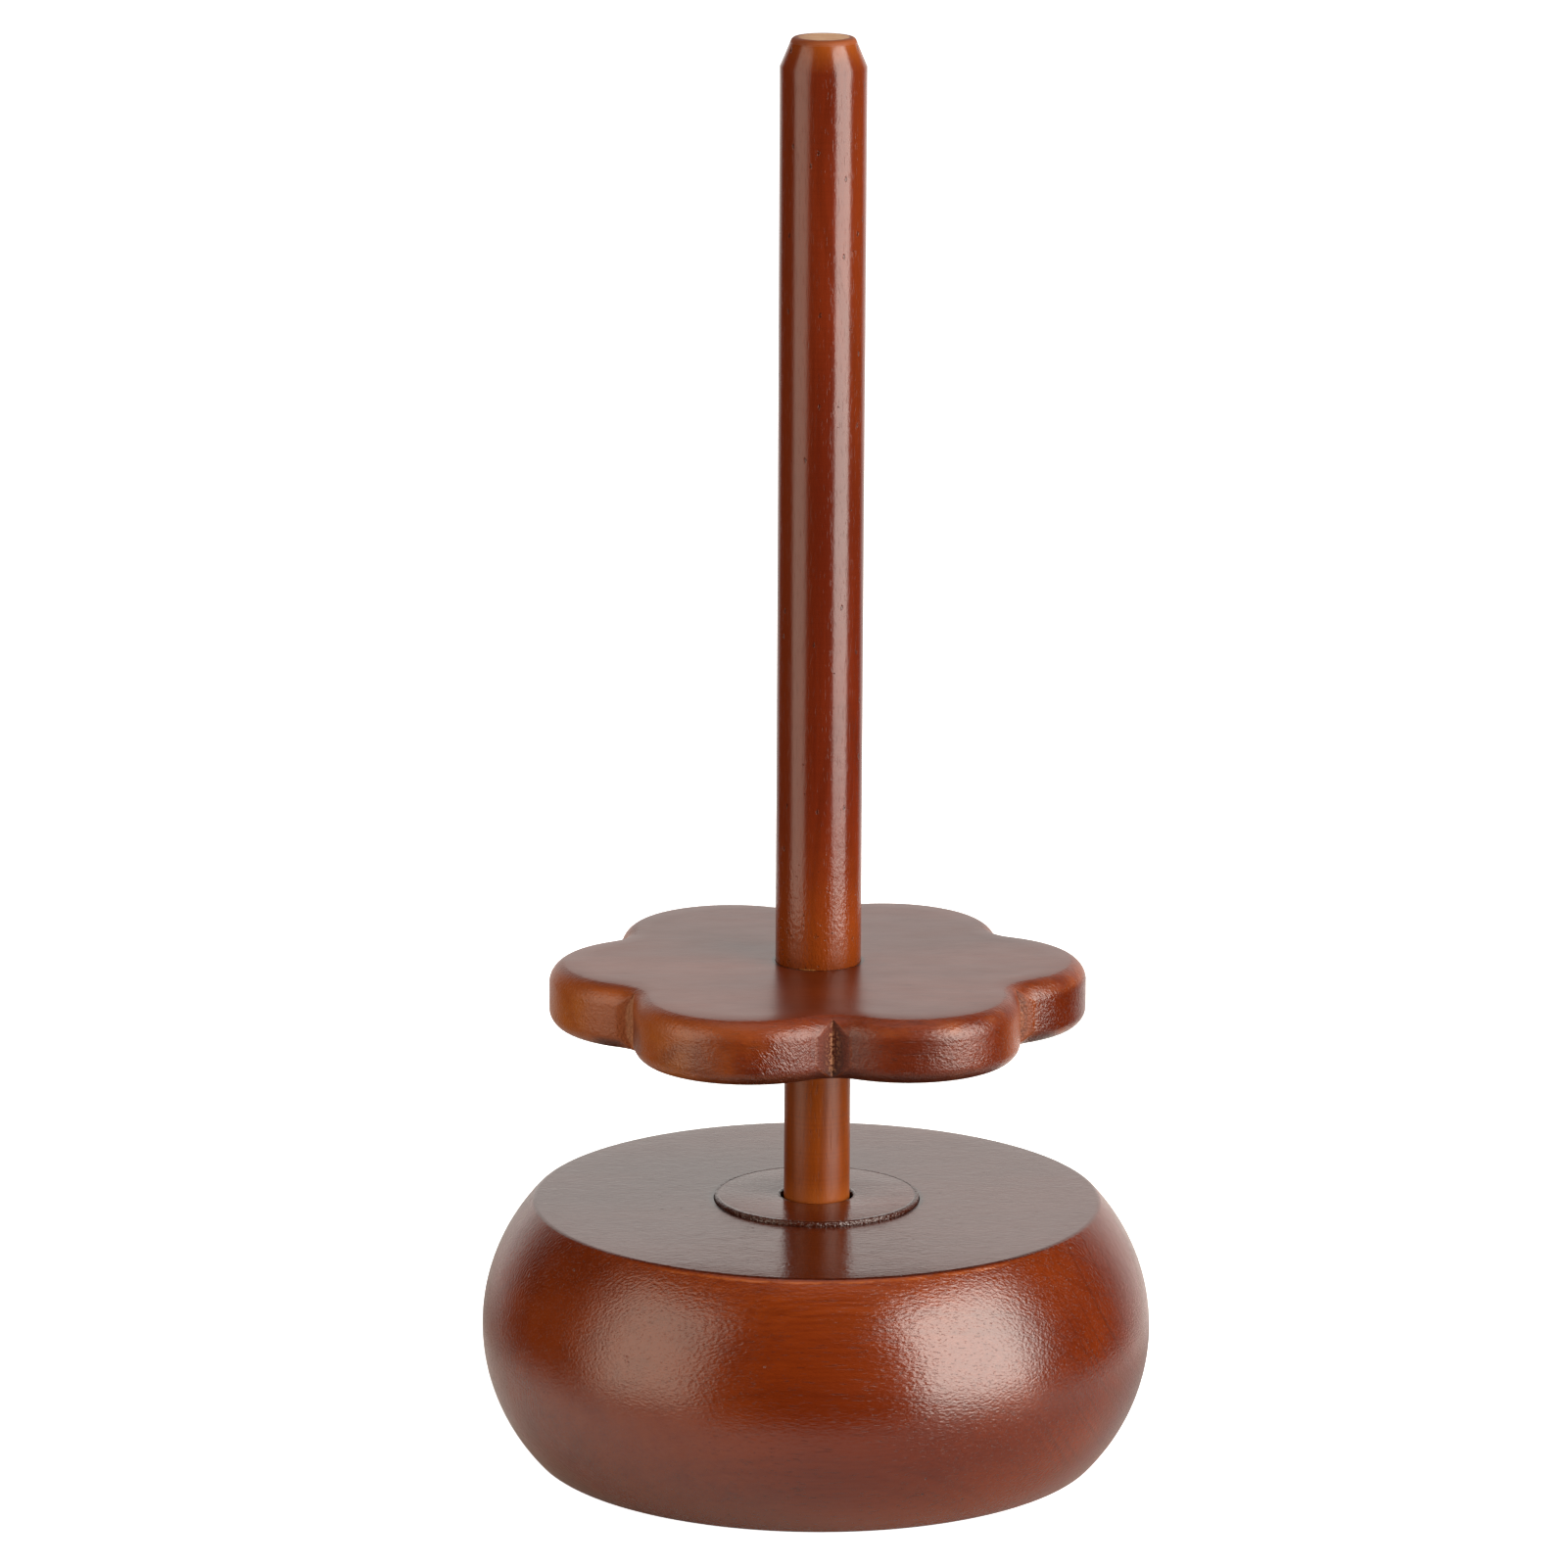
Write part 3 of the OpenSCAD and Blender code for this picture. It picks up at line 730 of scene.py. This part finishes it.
    # Columns run from the petal's tip over the guide circle to the notch, alike on both sides
    column = sums("MULTIPLY", sums("ABSOLUTE", place[0]), float(sum(columns)))
    side = sums("SIGN", place[0])
    starts = (0.0, float(columns[0]), float(columns[0] + columns[1]))
    shares = [clamped(sums("DIVIDE", sums("SUBTRACT", column, start), float(count)))
              for start, count in zip(starts, columns)]

    def onCircle(centreX, centreY, radius, turn):
        x = sums("MULTIPLY_ADD", radius, sums("COSINE", turn), centreX)
        y = sums("MULTIPLY_ADD", radius, sums("SINE", turn), centreY)
        return addNode(tree, "ShaderNodeCombineXYZ", x, y, 0.0).outputs[0]

    def choose(test, no, yes):
        node = addNode(tree, "GeometryNodeSwitch", input_type="VECTOR")
        for socket, feed in zip(node.inputs, (test, no, yes)):
            feedSocket(tree, socket, feed)
        return node.outputs[0]

    petalTurn = sums("MULTIPLY", leanTurn, shares[0])
    petalPoint = onCircle(petalX, 0.0, sums("SUBTRACT", petalRadius, inset), petalTurn)
    guideTurn = sums("ADD", leanTurn, math.pi)
    bridgeTurn = sums("MULTIPLY_ADD", sums("MAXIMUM", meetTurn, axisTurn), shares[1], guideTurn)
    bridgePoint = onCircle(guideX, guideY, guideReach, bridgeTurn)
    axisPoint = onCircle(guideX, guideY, guideReach, sums("ADD", axisTurn, guideTurn))
    notchWay = sums("MULTIPLY_ADD", sums("SUBTRACT", cuspTurn, wallTurn), shares[2], wallTurn)
    notchPoint = onCircle(petalX, 0.0, petalRadius, notchWay)
    rim = choose(meets, axisPoint, notchPoint)
    rim = choose(sums("GREATER_THAN", column, starts[2] + 0.5), bridgePoint, rim)
    rim = choose(sums("GREATER_THAN", column, starts[1] + 0.5), petalPoint, rim)
    flat = vectorMath(tree, "SCALE", vectorMath(tree, "NORMALIZE", rim)[0], None, None, holeRadius)[0]
    mixed = addNode(tree, "ShaderNodeMix", data_type="VECTOR")
    for index, feed in ((0, toHole), (4, rim), (5, flat)):  # the vector sockets of a Mix node
        feedSocket(tree, mixed.inputs[index], feed)
    spot = splitXyz(tree, mixed.outputs[1])
    spot = addNode(tree, "ShaderNodeCombineXYZ", spot[0], sums("MULTIPLY", spot[1], side),
                   sums("ADD", height, given["Underside"])).outputs[0]
    away = sums("DIVIDE", sums("ABSOLUTE", sums("SUBTRACT", column, starts[2])), tray["creaseColumns"])
    crease = sums("MULTIPLY", sums("SUBTRACT", 1.0, clamped(away)), meets)
    marked = stored(join.outputs[0], "notch", sums("MULTIPLY", shares[2], meets))
    marked = stored(marked, "crease", crease)
    petal = addNode(tree, "GeometryNodeSetPosition", marked, None, spot).outputs[0]

    # One petal's share of the tray, turned about the axis
    onAxis = (0.0, 0.0, 0.0)
    points = addNode(tree, "GeometryNodeMeshLine", given["Petal count"], None, onAxis, onAxis).outputs[0]
    index = addNode(tree, "GeometryNodeInputIndex").outputs[0]
    turn = sums("MULTIPLY", index, sums("MULTIPLY", notchTurn, 2.0))
    turn = addNode(tree, "ShaderNodeCombineXYZ", 0.0, 0.0, turn).outputs[0]
    turn = addNode(tree, "FunctionNodeEulerToRotation", turn).outputs[0]
    ring = addNode(tree, "GeometryNodeInstanceOnPoints", points, None, petal)
    feedSocket(tree, ring.inputs["Rotation"], turn)
    whole = addNode(tree, "GeometryNodeRealizeInstances", ring.outputs[0]).outputs[0]
    whole = addNode(tree, "GeometryNodeMergeByDistance", whole)
    whole.inputs["Distance"].default_value = tray["mergeGap"]
    whole = addNode(tree, "GeometryNodeSetMaterial", whole.outputs[0], None, given["Material"]).outputs[0]
    addNode(tree, "NodeGroupOutput", whole)
    return tree


def trayMesh(material):
    reach, floor, top = nodeSpan("flower_tray")
    stemRadius = nodeSpan("stem")[0]
    rodRadius, rodFoot, _ = nodeSpan("rod")
    tree = flowerTree()
    sizes = {
        "Petal reach": reach,
        "Petal radius": tray["petalRadius"],
        "Guide radius": tray["guideRadius"],
        "Thickness": top - floor,
        "Top rounding": tray["topRounding"],
        "Bottom rounding": tray["bottomRounding"],
        "Bore radius": stemRadius + tray["boreGap"],
        "Seat radius": rodRadius + tray["seatGap"],
        "Seat depth": top - rodFoot,
        "Underside": floor,
    }
    values = {name: size * mm for name, size in sizes.items()}
    values.update({"Softness": tray["softness"], "Petal count": tray["petalCount"], "Material": material})
    maker = bpy.data.objects.new("flowerMaker", bpy.data.meshes.new("flowerMaker"))
    bpy.context.scene.collection.objects.link(maker)
    modifier = maker.modifiers.new("flowerTray", "NODES")
    modifier.node_group = tree
    for item in tree.interface.items_tree:
        if item.in_out == "INPUT":
            modifier[item.identifier] = values[item.name]
    seen = maker.evaluated_get(bpy.context.evaluated_depsgraph_get())
    made = bpy.data.meshes.new_from_object(seen)
    maker.modifiers.clear()
    bpy.data.objects.remove(maker)
    shape = bmesh.new()
    shape.from_mesh(made)
    return closedMesh("flowerTray", shape, tray["mergeGap"])


def trayLayers(tree, layers):
    for name in ("notch", "crease"):
        layers[name] = addNode(tree, "ShaderNodeAttribute", attribute_name=name).outputs["Fac"]
    petalTurn = calc(tree, "MULTIPLY", layers["turn"], float(tray["petalCount"]))
    layers["petalWay"] = calc(tree, "COSINE", petalTurn)  # 1 at a petal's tip, -1 in a notch
    layers["rightSide"] = fade(tree, calc(tree, "SINE", petalTurn), *tray["sideSpan"])
    layers["speckled"] = calc(tree, "MULTIPLY", layers["grit"], layers["chatter"])
    layers["rodGap"] = calc(tree, "SUBTRACT", layers["radius"], nodeSpan("rod")[0])
    slant = addNode(tree, "ShaderNodeMapping", layers["inMm"], None, tray["raisedTurn"]).outputs[0]
    layers["raised"] = noise(tree, slant, *tray["raised"])


# Rod

rod = {
    "footInset": 0.5,
    "taperHeight": 5.2,
    "taperInset": 2.2,
    "rim": 0.9,
    "studHole": 3.02,
    "studSpare": 0.6,
    "steps": 192,
    "wallSteps": 60,
    "rimSteps": 8,
    "flatSteps": 6,
    "bareWood": (0.52, 0.3, 0.155, 1),
    "bareRing": (0.43, 0.19, 0.07, 1),
    "leftStain": (0.165, 0.027, 0.0062, 1),
    "taperStain": (0.21, 0.046, 0.006, 1),
    "chipStain": (0.5, 0.22, 0.07, 1),
    "footStain": (0.23, 0.05, 0.005, 1),
    "lathe": ((0.5, 2.0), 3.0, 0.6),
    "latheSpan": (0.35, 0.75, 0.0, 0.2),
    "latheTone": (0.55, 0.5, 0.5, 1),
    "knocks": (5.0, 0.055, 0.55),  # step, size as a share of it, share of the cells
    "knockLength": 2.4,
    "knockFray": 0.5,
    "pits": (1.3, 0.16, 0.5),
    "noises": {
        "patches": ("inMm", 4.0, 3.0, 0.6),
        "topRings": ("inMm", (5.0, 0.5)),
        "frayed": ("inMm", 0.4),
        "grit": ("grain", (0.9, 0.45)),
    },
    "pushed": {
        "taperDepth": ("depth", "patches", -2.0),
        "bareWay": ("radius", "patches", 1.2),
        "chipWay": ("overTray", "patches", 1.2),
        "thinWay": ("overTray", "patches", 8.0),
        "lowWay": ("overTray", "patches", 14.0),
    },
    "areas": {
        "bare": ({"bareWay": (5.25, 4.95), "depth": (0.3, 0.1)},),
        "low": ({"lowWay": (38, 8)},),
    },
    "stains": (
        # thin stain on the taper, bare wood on top
        ("taperStain", 0.9, {"taperDepth": (5, -0.6)}),
        ("bareWood", 1.0, {"bare": 1}),
        ("bareRing", 1.0, {"bare": 1, "topRings": (0.4, 0.7)}),
        # painted light making the left side lighter, knocks in the lacquer that are taller than wide
        ("leftStain", 0.62, {"across": (-0.5, -7)}),
        ("footStain", 0.14, {"across": (3, 6.5), "depth": (110, 45)}),
        ("poreStain", 0.7, {"knocks": 1}),
        # thin stain, pits and chipped fibres towards the foot
        ("footStain", 0.3, {"low": 1}),
        ("footStain", 0.17, {"thinWay": (22, 5)}),
        ("poreStain", 0.6, {"pits": 1, "low": 1}),
        ("chipStain", 1.0, {"chipWay": (1, 0.55), "patches": (0.5, 0.6)}),
    ),
    "bumps": (
        (0.003, {"lathe": 1}),
        (-0.045, {"knocks": 1}),
        (0.11, {"low": 1, "grit": 1}),
        (-0.08, {"pits": 1, "low": 1}),
    ),
    "hazes": ((0.45, {"depth": (1.2, 0.5)}),),
    "wood": dict(plainWood, shift=(12.0, 70.0, 51.0), grainTurn=alongZ, pores=((2.2, 0.22), 1.0, 0.4),
                 poreDepth=0.22, poreDip=0.008, ringNormal=(0.02, 0.75, 0.66), peelHeight=0.014,
                 waveHeight=0.03, fibreHeight=0.004, specks=(2.6, 0.075, 0.3), speckDip=0.06,
                 roughness=0.12, ior=1.4,
                 darkStain=(0.078, 0.009, 0.0025, 1), lightStain=(0.122, 0.0155, 0.0036, 1)),
}


def rodOutline():
    radius, foot, top = nodeSpan("rod")
    trayTop = nodeSpan("flower_tray")[2]
    studTip = nodeSpan("rod_stud")[2] + rod["studSpare"]
    rim = rod["rim"]
    rise, inset = rod["taperHeight"], rod["taperInset"]
    lean = math.degrees(math.atan2(inset, rise))
    topRadius = radius - inset
    rimX = topRadius - rim * math.tan(math.radians(45 - lean / 2))  # centre of the rim's rounding
    outline = [(0, studTip), (rod["studHole"], studTip), (rod["studHole"], foot)]
    outline += [(radius - rod["footInset"], foot), (radius, trayTop)]
    outline += linePoints((radius, trayTop), (radius, top - rise), rod["wallSteps"])[1:]
    outline += arcPoints((rimX, top - rim), rim, lean, 90, rod["rimSteps"])
    outline += linePoints((rimX, top), (0, top), rod["flatSteps"])[1:]
    return outline


def rodLayers(tree, layers):
    sums = partial(calc, tree)
    latheMarks(tree, layers, rod)
    x, y, rise = splitXyz(tree, layers["inMm"])
    layers["overTray"] = sums("SUBTRACT", rise, nodeSpan("flower_tray")[2])
    about = sums("ARCTAN2", x, sums("MULTIPLY", y, -1.0))
    girth = sums("MULTIPLY_ADD", about, layers["radius"], layers["patches"])
    girth = sums("MULTIPLY_ADD", layers["frayed"], rod["knockFray"], girth)
    shortened = sums("DIVIDE", rise, rod["knockLength"])
    unrolled = addNode(tree, "ShaderNodeCombineXYZ", girth, shortened).outputs[0]
    layers["knocks"] = spotNoise(tree, unrolled, *rod["knocks"], "2D")
    layers["pits"] = spotNoise(tree, layers["inMm"], *rod["pits"])


# Hidden steel pieces keep their CAD shapes and get their own finishes

steels = {
    "bearing_steel": {"tone": (0.56, 0.57, 0.58, 1), "rough": 0.16, "scratch": 0.004, "step": 0.3},
    "sheet_steel": {"tone": (0.45, 0.46, 0.48, 1), "rough": 0.28, "scratch": 0.006, "step": 0.5},
    "ball_steel": {"tone": (0.7, 0.7, 0.72, 1), "rough": 0.02, "scratch": 0.001, "step": 0.2},
    "zinc_steel": {"tone": (0.6, 0.59, 0.54, 1), "rough": 0.3, "scratch": 0.008, "step": 0.7},
}

steelGrain = {
    "cloud": (6.0, 3.0),  # size and detail
    "darkening": 0.8,
    "scratchLength": 4.0,
    "scratchDetail": (3.0, 0.6),
    "roughSpread": 0.2,
}


def steelFinish(label, look):
    material, tree, shader = newMaterial(label)
    inMm = inMillimetres(tree)
    cloud = noise(tree, inMm, *steelGrain["cloud"])
    size = (steelGrain["scratchLength"], look["step"])
    scratches = noise(tree, inMm, size, *steelGrain["scratchDetail"])
    dark = tuple(steelGrain["darkening"] * c for c in look["tone"][:3]) + (1,)
    fillShader(tree, shader, blendColour(tree, cloud, dark, look["tone"]),
               calc(tree, "MULTIPLY_ADD", scratches, steelGrain["roughSpread"], look["rough"]),
               calc(tree, "MULTIPLY", scratches, look["scratch"]))
    shader.inputs["Metallic"].default_value = 1.0
    return material


def dressSteel():
    finishes = {slot: steelFinish(slot, look) for slot, look in steels.items()}
    for part in frame["record"]["subparts"]:
        if part["material_slot"] in finishes:
            mesh = frame["nodes"][part["node"]].data
            mesh.materials.clear()
            mesh.materials.append(finishes[part["material_slot"]])
    print("dressed the hidden steel")


# Camera, at the photograph's viewing angle

view = {
    "turn": -3.6,
    "place": (-0.00634, -1.4444, 0.4642),
    "tilt": 13.235,
    "roll": 0.295,
    "lens": 189.0,
    "sensor": 36.0,
    "clip": (0.05, 50.0),
}


def setCamera():
    lens = bpy.data.cameras.new("camera")
    lens.lens = view["lens"]
    lens.sensor_width = view["sensor"]
    lens.clip_start, lens.clip_end = view["clip"]
    camera = bpy.data.objects.new("camera", lens)
    bpy.context.scene.collection.objects.link(camera)
    turn = Matrix.Rotation(math.radians(view["turn"]), 4, "Z")
    tilt = Matrix.Rotation(math.radians(90 - view["tilt"]), 4, "X")
    roll = Matrix.Rotation(math.radians(view["roll"]), 4, "Z")
    camera.matrix_world = turn @ Matrix.Translation(view["place"]) @ tilt @ roll
    bpy.context.scene.camera = camera


# Studio: white sweep behind, two soft boxes in front, a weak fill behind, white table under the base

studio = {
    "boxes": {
        "leftBox": {"turn": -59.5, "rise": 13, "wide": 1.06, "tall": 1.36, "glow": 3.3,
                    "edges": (0.3, 0.17), "tone": (1.1, 0.94, 0.76), "mirrored": True},
        "rightBox": {"turn": 56, "rise": 16.5, "wide": 0.87, "tall": 1.26, "glow": 10.5,
                     "edges": (0.08, 0.14), "tone": (1.0, 0.95, 0.87), "mirrored": True},
        "backFill": {"turn": 180, "rise": 28, "wide": 1.4, "tall": 1.2, "glow": 1.3,
                     "edges": (0.3, 0.3), "tone": (1.0, 0.95, 0.87), "mirrored": False},
    },
    "away": 1.0,
    "aim": (0.0, 0.0, 0.06),
    "sweepTone": (1.0, 0.95, 0.905, 1),
    "sweepLean": 0.11,  # the sweep reaches farther round on the right
    "sweep": (0.61, 0.91, 0.02, 1.2),  # from, to, glow in front and behind
    "horizon": (0.22, 0.32, 0.93, 1.0),
    "overhead": (0.88, 0.97, 0.0, 1.0),
    "table": ((-0.145, -0.12), (0.142, 0.5)),
    "tableNear": (-0.06, 0.06, 0.95, 0.48),  # from, to, tones left and right of the base's foot
    "tableFar": (-0.06, 0.06, 0.55, 0.9),  # and farther out
    "tableRing": (0.095, 0.125),
    "tableBounce": 0.3,
    "floor": ((-3.0, -3.0), (3.0, 3.0)),
    "floorTone": 0.8,
    "floorGlow": 1.0,
    "stageRough": 0.9,
    "layerGap": 0.0002,  # between base, floor and the two tables
}


def softBox(name, look):
    data = bpy.data.lights.new(name, "AREA")
    data.shape = "RECTANGLE"
    data.size = look["wide"]
    data.size_y = look["tall"]
    data.energy = look["glow"] * math.pi * look["wide"] * look["tall"]
    data.color = look["tone"]
    data.use_nodes = True
    tree = data.node_tree
    spread = splitXyz(tree, addNode(tree, "ShaderNodeNewGeometry").outputs["Parametric"])
    glow = 1.0
    for way, edge in zip(spread, look["edges"]):  # the cloth dims towards its edges
        fromEdge = calc(tree, "SUBTRACT", 0.5, calc(tree, "ABSOLUTE", calc(tree, "SUBTRACT", way, 0.5)))
        glow = calc(tree, "MULTIPLY", glow, fade(tree, fromEdge, 0.0, edge))
    tree.links.new(glow, tree.nodes["Emission"].inputs["Strength"])
    light = bpy.data.objects.new(name, data)
    bpy.context.scene.collection.objects.link(light)
    turn = math.radians(look["turn"] + view["turn"])
    rise = math.radians(look["rise"])
    outward = Vector((math.sin(turn) * math.cos(rise), -math.cos(turn) * math.cos(rise), math.sin(rise)))
    light.location = Vector(studio["aim"]) + outward * studio["away"]
    light.rotation_mode = "QUATERNION"
    light.rotation_quaternion = outward.to_track_quat("Z", "Y")
    light.visible_glossy = look["mirrored"]


def setWorld():
    world = bpy.data.worlds.new("sweep")
    bpy.context.scene.world = world
    world.use_nodes = True
    tree = world.node_tree
    tree.nodes.clear()
    x, y, z = splitXyz(tree, addNode(tree, "ShaderNodeTexCoord").outputs["Generated"])
    glow = fade(tree, calc(tree, "MULTIPLY_ADD", x, studio["sweepLean"], y), *studio["sweep"])
    glow = calc(tree, "MULTIPLY", glow, fade(tree, z, *studio["horizon"]))
    glow = calc(tree, "MAXIMUM", glow, fade(tree, z, *studio["overhead"]))
    seen = addNode(tree, "ShaderNodeBackground", (1, 1, 1, 1), 1.0)
    lit = addNode(tree, "ShaderNodeBackground", studio["sweepTone"], glow)
    ray = addNode(tree, "ShaderNodeLightPath").outputs["Is Camera Ray"]
    mixed = addNode(tree, "ShaderNodeMixShader", ray, lit.outputs[0], seen.outputs[0])
    output = addNode(tree, "ShaderNodeOutputWorld")
    tree.links.new(mixed.outputs[0], output.inputs["Surface"])


def tableTone(tree):  # the table is dim where the base shades it
    place = addNode(tree, "ShaderNodeTexCoord").outputs["Object"]
    across = splitXyz(tree, place)[0]
    near, far = [fade(tree, across, *studio[name]) for name in ("tableNear", "tableFar")]
    apart = fade(tree, axisOf(tree, place)[0], *studio["tableRing"])
    return calc(tree, "MULTIPLY_ADD", calc(tree, "SUBTRACT", far, near), apart, near)


def stagePlane(name, corners, layer, tone, glow=0.0):
    (left, front), (right, back) = corners
    height = -layer * studio["layerGap"]
    outline = [(x, y, height) for x, y in ((left, front), (right, front), (right, back), (left, back))]
    mesh = bpy.data.meshes.new(name)
    mesh.from_pydata(outline, [], [(0, 1, 2, 3)])
    material, tree, shader = newMaterial(name)
    feedSocket(tree, shader.inputs["Base Color"], tone(tree) if callable(tone) else (tone, tone, tone, 1))
    shader.inputs["Roughness"].default_value = studio["stageRough"]
    shader.inputs["Specular IOR Level"].default_value = 0.0
    shader.inputs["Emission Color"].default_value = (1, 1, 1, 1)
    shader.inputs["Emission Strength"].default_value = glow
    mesh.materials.append(material)
    plane = bpy.data.objects.new(name, mesh)
    bpy.context.scene.collection.objects.link(plane)
    return plane


def setStage():
    floor = stagePlane("floor", studio["floor"], 1, studio["floorTone"], studio["floorGlow"])
    floor.visible_diffuse = False
    floor.visible_glossy = False
    floor.visible_shadow = False
    shine = stagePlane("tableShine", studio["table"], 2, tableTone)  # what the lacquer mirrors
    bounce = stagePlane("tableBounce", studio["table"], 3, studio["tableBounce"])  # what lights the wood
    shine.visible_diffuse = False
    shine.visible_shadow = False
    bounce.visible_glossy = False
    for plane in (shine, bounce):
        plane.visible_camera = False


setCamera()
setWorld()
setStage()
for boxName, boxLook in studio["boxes"].items():
    softBox(boxName, boxLook)
bpy.context.scene.view_settings.view_transform = "Standard"
print("set camera, stage and lights")

baseFinish = woodFinish("baseLacquer", base, "base", baseLayers)
baseMesh = turnedMesh("turnedBase", baseOutline(), base["steps"])
placePiece("turned_base", baseMesh, baseFinish, "base", "stand")
capFinish = woodFinish("capLacquer", cap, "bearing_cap", capLayers)
capMesh = turnedMesh("capDisc", capOutline(), cap["steps"], closed=True)
placePiece("cap_disc", capMesh, capFinish, "bearing_cap", "stand")
stemFinish = woodFinish("stemSatin", stem, "stem", stemLayers)
stemMesh = turnedMesh("dowelStem", stemOutline(), stem["steps"])
placePiece("dowel_stem", stemMesh, stemFinish, "stem", "spindle")
trayFinish = woodFinish("trayLacquer", tray, "flower_tray", trayLayers)
placePiece("petal_tray", trayMesh(trayFinish), trayFinish, "flower_tray", "spindle")
rodFinish = woodFinish("rodLacquer", rod, "rod", rodLayers)
rodMesh = turnedMesh("yarnRod", rodOutline(), rod["steps"])
placePiece("yarn_rod", rodMesh, rodFinish, "rod", "spindle")
dressSteel()
